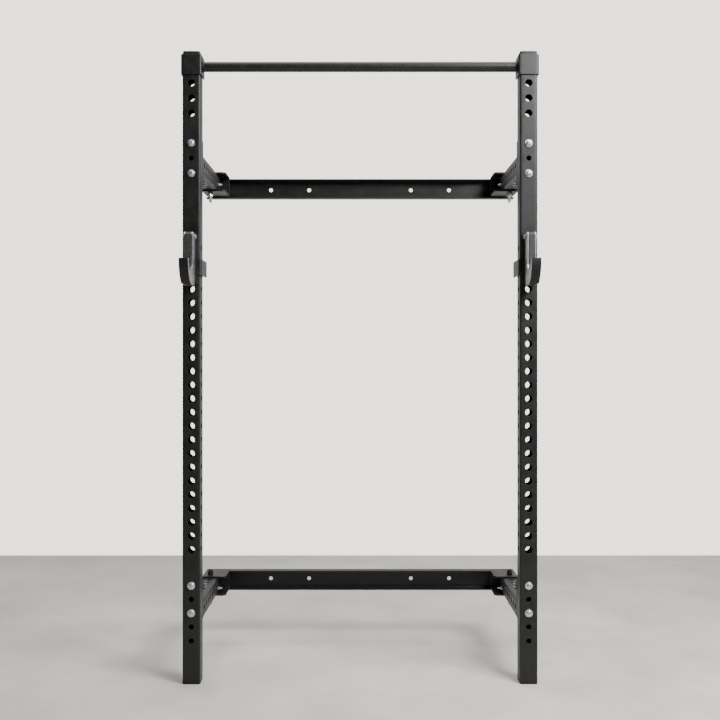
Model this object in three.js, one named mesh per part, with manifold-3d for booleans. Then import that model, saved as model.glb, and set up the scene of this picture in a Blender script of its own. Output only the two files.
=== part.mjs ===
// A wall-mounted squat rack: two drilled uprights joined by a lift-off pull-up bar, each held off the
// wall by an upper and a lower arm, with the arms pivoting in clevises on two wall channels, and a
// J-cup pegged into each upright to hold a barbell.
// Millimetres. X runs across the rack, Y from its open front to the wall, Z up from the floor. The
// origin lies on the floor, midway across, halfway between the J-cup lips and the wall.
import * as THREE from "three";
import { mergeVertices } from "three/addons/utils/BufferGeometryUtils.js";
import Module from "manifold-3d";

const wasm = await Module();
wasm.setup();

// Overall sizes
const rackWidth = 1196; // outer face to outer face of the uprights
const uprightHeight = 2120; // floor to the top of the upright tube
const wallDepth = 560; // front face of the uprights to the wall
const hookReach = 150; // front face of the uprights to the front of the J-cup lips

// Square tube of the uprights and arms
const tubeSide = 60;
const tubeWall = 3;
const tubeCorner = 6;

// Clearances
const touchGap = 0.3; // between pieces that touch
const slideGap = 0.6; // around pieces that slide or turn on one another
const boltGap = 1; // around a bolt's shank in its holes

// Holes in the uprights
const pegHole = 24; // front-to-back holes that take the J-cups
const sideHole = 18; // holes across the upright, on the same levels
const holePitch = 46.3;
const pegHoleRise = 215.3; // lower arm's axis to the lowest peg hole
const pegHoleStop = 240; // kept clear between the highest one and the upper arm's bolts
const topHolePitch = 50.8;
const topHoleCount = 3;
const topHoleDrop = 96; // top of the upright to the first hole
const footHoleDrops = [90.3, 43.6]; // lower arm's axis down to the spare holes near the floor

// Arms and their flanges
const upperArmDrop = 358; // top of the upright to the upper arm's axis
const lowerLevel = 236; // height of the lower arm's axis
const flangeThickness = 8;
const flangeMargin = 19; // flange edge beyond its outermost bolt
const upperBoltSpacing = 101.6; // lower bolt to upper bolt of the upper flange
const upperSpareRise = 8.8; // upper arm's axis to the spare hole between those bolts
const lowerBoltRises = [3, 95.3]; // lower arm's axis to its bolts
const lowerSpareRise = 49.3;
const armHole = 20;
const firstArmHole = 38; // back of the upright to the arm's first hole
const armHoleStop = 45; // kept clear between the last hole and the pivot

// Fasteners
const mainBolt = 14;
const mainBoltPlay = 3; // its hole's diameter over its own
const mainWasher = 26;
const mainWasherThickness = 2.4;
const mainHead = 20;
const mainHeadHeight = 7;
const mainNut = 22; // across flats
const mainNutHeight = 11;
const mainThread = 3; // bolt left showing past its nut
const pivotBolt = 12;
const pivotHead = 19;
const pivotHeadHeight = 21; // with the cap over it
const pivotThread = 24; // bolt left showing under its nut
const pivotNutHeight = 14;
const crossBolt = 8;
const crossHead = 13;
const crossHeadHeight = 6;
const crossThread = 10; // bolt left showing past its nut

// Wall channels and clevises
const channelOverhang = 2; // outer face of the upright to the end of the channel
const channelHeight = 75;
const channelDrop = 6; // arm's axis down to the middle of the channel
const channelDepth = 40;
const channelWall = 4;
const studHole = 15;
const studPositions = [200, 350]; // either side of the middle
const clevisDepth = 120;
const clevisPlate = 6;
const clevisInward = 61; // arm's centre to the clevis's inner edge
const clevisOutward = 28; // arm's centre to the clevis's outer edge
const clevisChamfer = 6;
const pivotSetback = 28; // clevis's front edge to the pivot
const armPastPivot = 36;
const armBoltSetback = 12; // clevis's front edge to the bolt across the arm's end
const armBoltDrop = 10; // arm's axis down to that bolt

// Pull-up bar and saddles
const barDiameter = 34;
const barWall = 3;
const barDrop = 34; // top of the upright to the bar's axis
const saddlePlate = 4;
const saddleHeight = 68;
const saddleDepth = 67; // front face of the upright to the back of the saddle's sides
const capHeight = 12;
const capInset = 1;
const plugDepth = 22;
const footThickness = 5;

// J-cups
const cupWidth = 30;
const cupSidePlate = 5;
const cupTop = 46; // peg's axis to the top of the cup's back leg
const cupFloor = 82; // peg's axis down to the bottom of the cradle
const cupBottom = 131; // peg's axis down to the lowest point
const cupLipTop = 49; // peg's axis down to the top of the lip
const cupBack = 60; // upright to the front of the back leg
const cradleWidth = 70;
const cradleCorner = 22;
const noseRadius = 75; // lower front of the J
const cupHeel = 18; // corner cut off the lower back of the J
const cupCrown = 8; // corner cut off the top front of the back leg
const linerProud = 1.5; // liner past the edges of the side plates
const cupBoltDrop = 14; // top of the back leg to the bolt across it
const padSweep = 0.38 * Math.PI; // how far the pad follows the round bottom
const padThickness = 6;
const webWidth = 48;
const webThickness = 6;
const webLift = 6; // lowest point of the J to the web's lower edge
const pegPlay = 4; // peg hole's diameter over the peg's
const pegPastUpright = 6;
const hookFlangeReach = 108; // front face of the upright to the end of the bracket's side flange
const hookFlangeTop = 40; // peg's axis down to the flange's upper edge
const hookFlangeHeight = 53;
const hookFlangePlate = 5;
const keeperHole = 8;
const keeperDrop = 26; // flange's upper edge to the keeper hole

// Places worked out from those sizes
const frontY = (hookReach - wallDepth) / 2;
const backY = frontY + tubeSide;
const wallY = frontY + wallDepth;
const uprightX = (rackWidth - tubeSide) / 2;
const upperLevel = uprightHeight - upperArmDrop;
const lowestUpperBolt = upperLevel - tubeSide / 2 - mainNut / Math.sqrt(3);
const upperBoltHeights = [lowestUpperBolt, lowestUpperBolt + upperBoltSpacing];
const upperSpareHole = upperLevel + upperSpareRise;
const lowerBoltHeights = lowerBoltRises.map((rise) => lowerLevel + rise);
const lowerSpareHole = lowerLevel + lowerSpareRise;
const footHoleHeights = footHoleDrops.map((drop) => lowerLevel - drop);
const lowestPegHole = lowerLevel + pegHoleRise;
const pegHoleHeights = stepped(lowestPegHole, lowestUpperBolt - pegHoleStop);
const topHoleHeights = Array.from(
  { length: topHoleCount },
  (_, i) => uprightHeight - topHoleDrop - i * topHolePitch,
);
const channelFrontY = wallY - channelDepth;
const clevisBackY = channelFrontY - touchGap;
const clevisFrontY = clevisBackY - clevisDepth;
const pivotY = clevisFrontY + pivotSetback;
const flangeFrontY = backY + touchGap;
const armHolePlaces = stepped(backY + firstArmHole, pivotY - armHoleStop);
const cupPegHeight = pegHoleHeights.at(-1);
const mainBoltHole = mainBolt + mainBoltPlay;
const pegDiameter = pegHole - pegPlay;
const channelLength = rackWidth + 2 * channelOverhang;

// Places one hole pitch apart, from the first and no further than the last.
function stepped(first, last) {
  const count = Math.floor((last - first) / holePitch) + 1;
  return Array.from({ length: count }, (_, i) => first + i * holePitch);
}

// Facets: sides of the bar, of heads, washers and pegs, of slim shanks, and of drilled holes, and
// the steps of a rounded corner
const BAR_SIDES = 20;
const HEAD_SIDES = 12;
const SHANK_SIDES = 8;
const HOLE_SIDES = 8;
const HEX_SIDES = 6;
const CORNER_STEPS = 2;
const CURVE_STEPS = 5;
const DOME_STEPS = 3;

// ---- Materials ----------------------------------------------------------------------------------

function coat(color, roughness, metalness) {
  return () => new THREE.MeshStandardMaterial({ color, roughness, metalness });
}
const powderCoat = coat(0x1b1c1d, 0.55, 0.2);
const mouldedPlastic = coat(0x0e0e0f, 0.7, 0);
const zincPlate = coat(0xb9bcc0, 0.35, 0.9);
const brushedSteel = coat(0x8d8f92, 0.4, 0.8);
const liner = coat(0x161617, 0.8, 0);

// ---- Solids -------------------------------------------------------------------------------------

// Turns a shape drawn in its own XY plane and extruded along Z so that it runs along X, Y or Z.
// Along X its drawing reads (Y, Z); along Y it reads (Z, X).
const AXES = {
  x: new THREE.Matrix4().makeBasis(vec(0, 1, 0), vec(0, 0, 1), vec(1, 0, 0)),
  y: new THREE.Matrix4().makeBasis(vec(0, 0, 1), vec(1, 0, 0), vec(0, 1, 0)),
  z: new THREE.Matrix4(),
};

function vec(x, y, z) {
  return new THREE.Vector3(x, y, z);
}

function block(x0, x1, y0, y1, z0, z1) {
  const shape = new THREE.BoxGeometry(Math.abs(x1 - x0), y1 - y0, z1 - z0);
  return shape.translate((x0 + x1) / 2, (y0 + y1) / 2, (z0 + z1) / 2);
}

// A cylinder of the given number of sides, centred on a point, along an axis.
function rod(diameter, length, axis, x, y, z, sides = HEAD_SIDES) {
  const shape = new THREE.CylinderGeometry(diameter / 2, diameter / 2, length, sides, 1);
  shape.rotateX(Math.PI / 2).rotateZ(Math.PI / sides);
  return shape.applyMatrix4(AXES[axis]).translate(x, y, z);
}

function roundedSquare(side, corner) {
  const h = side / 2;
  const shape = new THREE.Shape();
  shape.moveTo(h, corner - h);
  shape.lineTo(h, h - corner);
  shape.absarc(h - corner, h - corner, corner, 0, Math.PI / 2);
  shape.lineTo(corner - h, h);
  shape.absarc(corner - h, h - corner, corner, Math.PI / 2, Math.PI);
  shape.lineTo(-h, corner - h);
  shape.absarc(corner - h, corner - h, corner, Math.PI, 1.5 * Math.PI);
  shape.lineTo(h - corner, -h);
  shape.absarc(h - corner, corner - h, corner, 1.5 * Math.PI, 2 * Math.PI);
  return shape;
}

function extrude(shape, length, axis, curveSegments = CORNER_STEPS) {
  const made = new THREE.ExtrudeGeometry(shape, { depth: length, bevelEnabled: false, curveSegments });
  return made.applyMatrix4(AXES[axis]);
}

// A square tube, open at both ends, from the start point along an axis.
function squareTube(length, axis, x, y, z) {
  const shape = roundedSquare(tubeSide, tubeCorner);
  shape.holes.push(roundedSquare(tubeSide - 2 * tubeWall, tubeCorner - tubeWall));
  return extrude(shape, length, axis).translate(x, y, z);
}

function solidOf(geometry) {
  const bare = geometry.index ? geometry.toNonIndexed() : geometry.clone();
  bare.deleteAttribute("normal");
  bare.deleteAttribute("uv");
  const merged = mergeVertices(bare, 1e-3);
  return new wasm.Manifold(
    new wasm.Mesh({
      numProp: 3,
      vertProperties: merged.attributes.position.array,
      triVerts: new Uint32Array(merged.index.array),
    }),
  );
}

// The first geometry, with the others joined on and the cutters taken away.
function fuse(first, joined, cutters = []) {
  let solid = solidOf(first);
  for (const piece of joined) solid = solid.add(solidOf(piece));
  for (const cutter of cutters) solid = solid.subtract(solidOf(cutter));
  const { vertProperties, triVerts } = solid.getMesh();
  const geometry = new THREE.BufferGeometry();
  geometry.setAttribute("position", new THREE.BufferAttribute(vertProperties.slice(), 3));
  geometry.setIndex(new THREE.BufferAttribute(triVerts.slice(), 1));
  const flat = geometry.toNonIndexed();
  flat.computeVertexNormals();
  return flat;
}

const rack = new THREE.Group();

function place(name, geometry, material) {
  const mesh = new THREE.Mesh(geometry, material());
  mesh.name = name;
  rack.add(mesh);
}

// ---- Uprights and their end caps ----------------------------------------------------------------

function addUpright(side, word) {
  const x = side * uprightX;
  const middleY = frontY + tubeSide / 2;
  const through = (diameter, z) => rod(diameter, 2 * tubeSide, "y", x, middleY, z, HOLE_SIDES);
  const across = (diameter, z) => rod(diameter, 2 * tubeSide, "x", x, middleY, z, HOLE_SIDES);
  const boltLevels = [
    ...footHoleHeights,
    ...lowerBoltHeights,
    lowerSpareHole,
    ...upperBoltHeights,
    upperSpareHole,
  ];
  const cutters = [
    ...pegHoleHeights.map((z) => through(pegHole, z)),
    ...topHoleHeights.map((z) => through(pegHole, z)),
    ...boltLevels.map((z) => through(mainBoltHole, z)),
    ...pegHoleHeights.map((z) => across(sideHole, z)),
  ];
  const foot = footThickness + touchGap;
  const tube = squareTube(uprightHeight - foot, "z", x, middleY, foot);
  place(`${word}_upright`, fuse(tube, [], cutters), powderCoat);
  addCap(`${word}_top_cap`, x, middleY, uprightHeight + touchGap, capHeight, 1);
  addCap(`${word}_foot_cap`, x, middleY, footThickness, footThickness, -1);
}

// A moulded cap: a plate outside the tube's end and a plug inside it. way is +1 above, -1 below.
function addCap(name, x, y, seat, height, way) {
  const inset = way > 0 ? capInset : 0;
  const plugSide = tubeSide - 2 * tubeWall - 2 * touchGap;
  const plate = extrude(roundedSquare(tubeSide - 2 * inset, tubeCorner), height, "z");
  plate.translate(x, y, way > 0 ? seat : seat - height);
  const plug = extrude(roundedSquare(plugSide, tubeCorner - tubeWall), plugDepth + height / 2, "z");
  plug.translate(x, y, way > 0 ? seat - plugDepth : seat - height / 2);
  place(name, fuse(plate, [plug]), mouldedPlastic);
}

// ---- Arms: a drilled tube welded to the flange that bolts to the back of the upright ---------------

function addArm(side, word, tier, level, boltHeights, spareHole) {
  const x = side * uprightX;
  const tubeStart = flangeFrontY + flangeThickness / 2;
  const tubeEnd = pivotY + armPastPivot;
  const tube = squareTube(tubeEnd - tubeStart, "y", x, tubeStart, level);
  const flangeLow = Math.min(boltHeights[0] - flangeMargin, level - tubeSide / 2);
  const flangeHigh = boltHeights[1] + flangeMargin;
  const flange = block(
    x - tubeSide / 2,
    x + tubeSide / 2,
    flangeFrontY,
    flangeFrontY + flangeThickness,
    flangeLow,
    flangeHigh,
  );
  const flangeY = flangeFrontY + flangeThickness / 2;
  const drill = (z) => rod(mainBoltHole, 2 * flangeThickness, "y", x, flangeY, z, HOLE_SIDES);
  const cutters = [...boltHeights, spareHole].map(drill);
  for (const y of armHolePlaces) {
    cutters.push(rod(armHole, 2 * tubeSide, "x", x, y, level, HOLE_SIDES));
    cutters.push(rod(armHole, 2 * tubeSide, "z", x, y, level, HOLE_SIDES));
  }
  const crossY = clevisFrontY + armBoltSetback;
  const crossZ = level - armBoltDrop;
  cutters.push(rod(pivotBolt + 2 * boltGap, 2 * tubeSide, "z", x, pivotY, level, HOLE_SIDES));
  cutters.push(rod(crossBolt + 2 * boltGap, 2 * tubeSide, "x", x, crossY, crossZ, HOLE_SIDES));
  place(`${word}_${tier}_arm`, fuse(flange, [tube], cutters), powderCoat);
  boltHeights.forEach((z, i) => addMainBolt(`${word}_${tier}`, i + 1, x, z));
  addCrossBolt(`${word}_${tier}_arm_bolt`, side, x, crossY, crossZ);
}

// A domed bolt with its washer, through the upright and the arm's flange, and the nut behind.
function addMainBolt(prefix, number, x, z) {
  const washerY = frontY - touchGap - mainWasherThickness / 2;
  const headY = frontY - touchGap - mainWasherThickness;
  const nutY = flangeFrontY + flangeThickness + touchGap;
  const shankEnd = nutY + mainNutHeight + mainThread;
  const washer = rod(mainWasher, mainWasherThickness, "y", x, washerY, z);
  const shank = rod(mainBolt, shankEnd - headY, "y", x, (shankEnd + headY) / 2, z, SHANK_SIDES);
  const head = new THREE.LatheGeometry(domeProfile(mainHead / 2, mainHeadHeight), HEAD_SIDES);
  head.rotateX(Math.PI).translate(x, headY + touchGap, z);
  place(`${prefix}_bolt_${number}`, fuse(washer, [shank, head]), zincPlate);
  const nutMiddle = nutY + mainNutHeight / 2;
  const nut = rod((mainNut * 2) / Math.sqrt(3), mainNutHeight, "y", x, nutMiddle, z, HEX_SIDES);
  const bore = rod(mainBolt + 2 * touchGap, 2 * mainNutHeight, "y", x, nutY, z, SHANK_SIDES);
  place(`${prefix}_nut_${number}`, fuse(nut, [], [bore]), zincPlate);
}

// The half outline of a low domed head, from the middle of its base to its crown.
function domeProfile(radius, height) {
  const rise = new THREE.EllipseCurve(0, height / 3, radius, (2 * height) / 3, 0, Math.PI / 2);
  const crown = rise.getPoints(DOME_STEPS).slice(0, -1);
  const base = [new THREE.Vector2(0, 0), new THREE.Vector2(radius, 0)];
  return [...base, ...crown, new THREE.Vector2(0, height)];
}

// The bolt across the arm's end, with its head outside the rack and its nut end inside.
function addCrossBolt(name, side, x, y, z) {
  const half = tubeSide / 2 + touchGap + crossHeadHeight;
  const shankX = x - (side * crossThread) / 2;
  const shank = rod(crossBolt, 2 * half + crossThread, "x", shankX, y, z, SHANK_SIDES);
  const headX = x + side * (half - crossHeadHeight / 2);
  const nutX = x - side * (half - crossHeadHeight / 2);
  const head = rod(crossHead, crossHeadHeight, "x", headX, y, z, HEX_SIDES);
  const nut = rod(crossHead, crossHeadHeight, "x", nutX, y, z, HEX_SIDES);
  place(name, fuse(shank, [head, nut]), zincPlate);
}

// ---- Wall channels, clevises and pivots -----------------------------------------------------------

function addChannel(tier, level) {
  const half = channelLength / 2;
  const middle = level - channelDrop;
  const top = middle + channelHeight / 2;
  const bottom = middle - channelHeight / 2;
  const web = block(-half, half, wallY - channelWall, wallY, bottom, top);
  const upperFlange = block(-half, half, channelFrontY, wallY, top - channelWall, top);
  const lowerFlange = block(-half, half, channelFrontY, wallY, bottom, bottom + channelWall);
  const cutters = [];
  for (const offset of studPositions)
    for (const side of [-1, 1])
      cutters.push(rod(studHole, 4 * channelWall, "y", side * offset, wallY, middle, HEAD_SIDES));
  place(`${tier}_channel`, fuse(web, [upperFlange, lowerFlange], cutters), powderCoat);
}

function addClevis(side, word, tier, level) {
  const x = side * uprightX;
  const innerX = x - side * clevisInward;
  const outerX = x + side * clevisOutward;
  const gap = tubeSide / 2 + slideGap;
  const outline = new THREE.Shape();
  outline.moveTo(outerX, clevisBackY);
  outline.lineTo(outerX, clevisFrontY);
  outline.lineTo(innerX + side * clevisChamfer, clevisFrontY);
  outline.lineTo(innerX, clevisFrontY + clevisChamfer);
  outline.lineTo(innerX, clevisBackY);
  const upper = extrude(outline, clevisPlate, "z").translate(0, 0, level + gap);
  const lower = extrude(outline, clevisPlate, "z").translate(0, 0, level - gap - clevisPlate);
  const reach = gap + clevisPlate;
  const back = block(innerX, outerX, clevisBackY - clevisPlate, clevisBackY, level - reach, level + reach);
  const inside = channelHeight / 2 - channelWall - slideGap;
  const rootBack = wallY - channelWall - touchGap;
  const rootFront = clevisBackY - clevisPlate / 2;
  const rootZ = level - channelDrop;
  const root = block(innerX, outerX, rootFront, rootBack, rootZ - inside, rootZ + inside);
  const bore = rod(pivotBolt + 2 * boltGap, 4 * reach, "z", x, pivotY, level, HOLE_SIDES);
  place(`${word}_${tier}_clevis`, fuse(back, [upper, lower, root], [bore]), powderCoat);
  addPivot(`${word}_${tier}_pivot`, x, level, reach);
}

// The pivot: a bolt dropped through the clevis and the arm, its head above and a nut below.
function addPivot(name, x, level, reach) {
  const top = level + reach + touchGap;
  const nutTop = level - reach - touchGap;
  const end = nutTop - pivotNutHeight - pivotThread;
  const shank = rod(pivotBolt, top - end, "z", x, pivotY, (top + end) / 2, SHANK_SIDES);
  const hexWidth = (pivotHead * 2) / Math.sqrt(3);
  const head = rod(hexWidth, pivotHeadHeight, "z", x, pivotY, top + pivotHeadHeight / 2, HEX_SIDES);
  place(`${name}_bolt`, fuse(shank, [head]), zincPlate);
  const nut = rod(hexWidth, pivotNutHeight, "z", x, pivotY, nutTop - pivotNutHeight / 2, HEX_SIDES);
  const bore = rod(pivotBolt + 2 * boltGap, 4 * pivotNutHeight, "z", x, pivotY, nutTop, SHANK_SIDES);
  place(`${name}_nut`, fuse(nut, [], [bore]), zincPlate);
}

// ---- Pull-up bar with a saddle over each upright ----------------------------------------------------

function addSaddle(side, word) {
  const x = side * uprightX;
  const inner = tubeSide / 2 + slideGap;
  const outer = inner + saddlePlate;
  const top = uprightHeight;
  const low = top - saddleHeight;
  const front = frontY - slideGap - saddlePlate;
  const back = frontY + saddleDepth;
  const whole = block(x - outer, x + outer, front, back, low, top);
  const past = saddlePlate;
  const slot = block(x - inner, x + inner, frontY - slideGap, back + past, low - past, top + past);
  place(`${word}_saddle`, fuse(whole, [], [slot]), powderCoat);
}

function addBar() {
  const half = uprightX - tubeSide / 2 - slideGap - saddlePlate - touchGap;
  const ring = new THREE.Shape();
  ring.absarc(0, 0, barDiameter / 2, 0, 2 * Math.PI);
  const hollow = new THREE.Path();
  hollow.absarc(0, 0, barDiameter / 2 - barWall, 0, 2 * Math.PI);
  ring.holes.push(hollow);
  const bar = extrude(ring, 2 * half, "x", BAR_SIDES / 2);
  bar.translate(-half, frontY + tubeSide / 2, uprightHeight - barDrop);
  place("pull_up_bar", bar, powderCoat);
}

// ---- J-cups ---------------------------------------------------------------------------------------

// The J seen from the side, in (Y, Z): a back leg, a cradle with round corners and a front lip. inset
// draws the back leg and the cradle that much further from the edges of the side plates.
function hookOutline(inset) {
  const z = (down) => cupPegHeight - down;
  const back = frontY - touchGap - webThickness - touchGap;
  const legFront = frontY - cupBack + inset;
  const lipBack = legFront - cradleWidth - inset * 2;
  const lipFront = frontY - hookReach + padThickness + touchGap;
  const floor = z(cupFloor + inset);
  const cornerZ = floor + cradleCorner;
  const shape = new THREE.Shape();
  shape.moveTo(back, z(cupBottom - cupHeel));
  shape.lineTo(back, z(-cupTop));
  shape.lineTo(legFront + cupCrown, z(-cupTop));
  shape.lineTo(legFront, z(cupCrown - cupTop));
  shape.lineTo(legFront, cornerZ);
  shape.absarc(legFront - cradleCorner, cornerZ, cradleCorner, 0, -Math.PI / 2, true);
  shape.lineTo(lipBack + cradleCorner, floor);
  shape.absarc(lipBack + cradleCorner, cornerZ, cradleCorner, -Math.PI / 2, -Math.PI, true);
  shape.lineTo(lipBack, z(cupLipTop));
  shape.lineTo(lipFront, z(cupLipTop));
  shape.lineTo(lipFront, z(cupBottom - noseRadius));
  shape.absarc(lipFront + noseRadius, z(cupBottom - noseRadius), noseRadius, Math.PI, 1.5 * Math.PI);
  shape.lineTo(back - cupHeel, z(cupBottom));
  return shape;
}

// The pad that follows the front of the lip from its top to the start of the hook's round bottom.
function padOutline() {
  const outer = frontY - hookReach;
  const inner = outer + padThickness;
  const centreZ = cupPegHeight - cupBottom + noseRadius;
  const centreY = frontY - hookReach + padThickness + touchGap + noseRadius;
  const sweep = Math.PI + padSweep;
  const shape = new THREE.Shape();
  shape.moveTo(inner, cupPegHeight - cupLipTop);
  shape.lineTo(outer, cupPegHeight - cupLipTop);
  shape.lineTo(outer, centreZ);
  shape.absarc(centreY, centreZ, centreY - outer, Math.PI, sweep);
  shape.absarc(centreY, centreZ, centreY - inner, sweep, Math.PI, true);
  return shape;
}

function addCup(side, word) {
  const x = side * uprightX;
  const across = (shape, x0, width, detail) => extrude(shape, width, "x", detail).translate(x0, 0, 0);
  const half = cupWidth / 2;
  const plateX = half - cupSidePlate;
  const liningWidth = 2 * (plateX - touchGap);
  const crossY = frontY - cupBack / 2;
  const crossZ = cupPegHeight + cupTop - cupBoltDrop;
  const bore = () => rod(crossBolt + 2 * boltGap, 2 * cupWidth, "x", x, crossY, crossZ, HOLE_SIDES);
  for (const [where, way] of [["inner", -side], ["outer", side]]) {
    const x0 = way > 0 ? x + plateX : x - half;
    const plate = across(hookOutline(0), x0, cupSidePlate, CURVE_STEPS);
    place(`${word}_cup_${where}_plate`, fuse(plate, [], [bore()]), brushedSteel);
  }
  const lining = across(hookOutline(-linerProud), x - liningWidth / 2, liningWidth, CURVE_STEPS);
  place(`${word}_cup_liner`, fuse(lining, [], [bore()]), liner);
  place(`${word}_cup_pad`, across(padOutline(), x - half, cupWidth, CURVE_STEPS), liner);
  const boltLength = cupWidth + 2 * (touchGap + crossHeadHeight);
  const shank = rod(crossBolt, boltLength, "x", x, crossY, crossZ, SHANK_SIDES);
  const headX = half + touchGap + crossHeadHeight / 2;
  const heads = [-1, 1].map((way) => rod(crossHead, crossHeadHeight, "x", x + way * headX, crossY, crossZ));
  place(`${word}_cup_bolt`, fuse(shank, heads), zincPlate);
  place(`${word}_cup_bracket`, cupBracket(side, x), powderCoat);
}

// The bracket: a web against the upright, a peg through its hole and a side flange along its inner
// face, with a keeper hole behind the upright.
function cupBracket(side, x) {
  const webBack = frontY - touchGap;
  const webFront = webBack - webThickness;
  const low = cupPegHeight - cupBottom + webLift;
  const web = block(x - webWidth / 2, x + webWidth / 2, webFront, webBack, low, cupPegHeight + cupTop);
  const pegEnd = backY + pegPastUpright;
  const pegStart = webFront + webThickness / 2;
  const peg = rod(pegDiameter, pegEnd - pegStart, "y", x, (pegEnd + pegStart) / 2, cupPegHeight);
  const flangeTop = cupPegHeight - hookFlangeTop;
  const flangeLow = flangeTop - hookFlangeHeight;
  const flangeOuter = x - side * (tubeSide / 2 + slideGap);
  const flangeInner = flangeOuter - side * hookFlangePlate;
  const bridge = block(x, flangeInner, webFront, webBack, flangeLow, flangeTop);
  const flange = block(flangeOuter, flangeInner, webFront, frontY + hookFlangeReach, flangeLow, flangeTop);
  const holeY = frontY + hookFlangeReach - keeperHole;
  const keeperZ = flangeTop - keeperDrop;
  const keeper = rod(keeperHole, 4 * hookFlangePlate, "x", flangeInner, holeY, keeperZ, HOLE_SIDES);
  return fuse(web, [peg, bridge, flange], [keeper]);
}

// ---- The rack ---------------------------------------------------------------------------------------

for (const [tier, level] of [["upper", upperLevel], ["lower", lowerLevel]]) addChannel(tier, level);
for (const [side, word] of [[-1, "left"], [1, "right"]]) {
  addUpright(side, word);
  addArm(side, word, "upper", upperLevel, upperBoltHeights, upperSpareHole);
  addArm(side, word, "lower", lowerLevel, lowerBoltHeights, lowerSpareHole);
  addClevis(side, word, "upper", upperLevel);
  addClevis(side, word, "lower", lowerLevel);
  addSaddle(side, word);
  addCup(side, word);
}
addBar();

export default rack;
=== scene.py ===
# %% [markdown]
# A wall-mounted squat rack. Two drilled square uprights stand on the floor, and two arms hold each
# of them off the wall. The arms end in clevises on two wall channels. A pull-up bar drops over the
# tops of the uprights, and two J-cups hold a barbell.
#
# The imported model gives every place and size, and it keeps the motion. Its facets are coarse, so
# this file makes each piece again as a fine surface in the same place, and then gives it the finish
# of the real one. Blender works in metres, and a maker thinks of such parts in millimetres, so
# sizes here are in millimetres, and one factor turns them into metres.

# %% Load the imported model
import math

import bmesh
import bpy
import numpy as np
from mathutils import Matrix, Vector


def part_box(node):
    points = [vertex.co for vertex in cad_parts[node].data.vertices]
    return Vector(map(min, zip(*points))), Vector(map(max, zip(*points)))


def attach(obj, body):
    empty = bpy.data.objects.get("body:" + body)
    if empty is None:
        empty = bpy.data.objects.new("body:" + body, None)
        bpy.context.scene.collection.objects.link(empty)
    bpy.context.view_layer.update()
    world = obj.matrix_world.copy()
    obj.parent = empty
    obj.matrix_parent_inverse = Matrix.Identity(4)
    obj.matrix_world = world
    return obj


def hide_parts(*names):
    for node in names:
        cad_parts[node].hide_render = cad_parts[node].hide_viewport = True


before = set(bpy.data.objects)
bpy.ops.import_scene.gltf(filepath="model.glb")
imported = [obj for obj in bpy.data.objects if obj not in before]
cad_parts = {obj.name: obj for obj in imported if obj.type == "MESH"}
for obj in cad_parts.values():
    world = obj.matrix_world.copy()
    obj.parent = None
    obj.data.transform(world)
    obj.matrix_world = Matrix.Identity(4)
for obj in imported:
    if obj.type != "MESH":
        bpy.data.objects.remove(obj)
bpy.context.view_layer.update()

MM = 0.001
TOUCH_GAP = 0.3  # left between pieces that touch
SLIDE_GAP = 0.6  # left around pieces that slide
SIDES = {"left": -1, "right": 1}
TIERS = ("upper", "lower")

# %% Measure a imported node
def corners(node):
    """A node's lowest and highest corners, in millimetres, as two arrays."""
    low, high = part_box(node)
    return np.array(low) / MM, np.array(high) / MM


def middle(node):
    """The middle of a node's box, in millimetres."""
    low, high = corners(node)
    return (low + high) / 2


floor_to_top = corners("left_upright")[1][2]
print("the uprights reach", round(floor_to_top), "mm")

# %% [markdown]
# Every piece below is a surface worked out on grids. A grid is an array of points with rows and
# columns, and its faces join each point to its neighbours. Several grids that share their edges are
# welded into one closed shell, because a closed shell has an inside, and Blender can then turn all
# its faces outwards. Whole arrays do this faster than a loop, and each shape stays one formula.

# %% Turn grids into a mesh
WELD_GAP = 0.002  # points closer than this are one point


def grid_faces(rows, columns, ring):
    """Four-cornered faces between neighbours; a ring also joins its last column to its first."""
    row = np.arange(rows - 1)[:, None]
    column = np.arange(columns if ring else columns - 1)[None, :]
    beside = (column + 1) % columns
    here, next_row = row * columns, (row + 1) * columns
    faces = [here + column, here + beside, next_row + beside, next_row + column]
    return np.stack(faces, axis=-1).reshape(-1, 4)


def welded_mesh(name, grids):
    """One closed mesh from grids in millimetres, each given with True if its columns form a ring."""
    points, faces, start = [], [], 0
    for grid, ring in grids:
        rows, columns = grid.shape[:2]
        points.append(grid.reshape(-1, 3) * MM)
        faces.append(grid_faces(rows, columns, ring) + start)
        start += rows * columns
    mesh = bpy.data.meshes.new(name)
    mesh.from_pydata(np.concatenate(points), [], np.concatenate(faces).tolist())
    shell = bmesh.new()
    shell.from_mesh(mesh)
    bmesh.ops.remove_doubles(shell, verts=shell.verts, dist=WELD_GAP * MM)
    bmesh.ops.dissolve_degenerate(shell, edges=shell.edges, dist=WELD_GAP * MM / 4)
    bmesh.ops.recalc_face_normals(shell, faces=shell.faces)
    shell.to_mesh(mesh)
    shell.free()
    return mesh


# %% [markdown]
# Colours are picked on a screen as hex values, and a screen's values are not amounts of light.
# Shaders add and multiply light, so one function turns each hex value into linear numbers.
# A second small function adds a node to a material, sets what it is told and joins its inputs.

# %% Colours and nodes
def linear(hex_colour):
    """A screen colour as linear red, green, blue and full opacity."""
    values = np.array([int(hex_colour[i : i + 2], 16) for i in (1, 3, 5)]) / 255
    light = np.where(values <= 0.04045, values / 12.92, ((values + 0.055) / 1.055) ** 2.4)
    return (*light.tolist(), 1.0)


def add_node(tree, kind, settings=(), links=()):
    """Adds a node. A setting is a property or an input's value, and a link is (input, node, output)."""
    made = tree.nodes.new(kind)
    for key, value in dict(settings).items():
        if isinstance(key, str) and hasattr(made, key):
            setattr(made, key, value)
        else:
            made.inputs[key].default_value = value
    for key, source, output in links:
        tree.links.new(source.outputs[output], made.inputs[key])
    return made


def per_mm(size):
    """The texture scale that makes one cell of a pattern this many millimetres wide."""
    return 1 / (size * MM)


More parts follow.
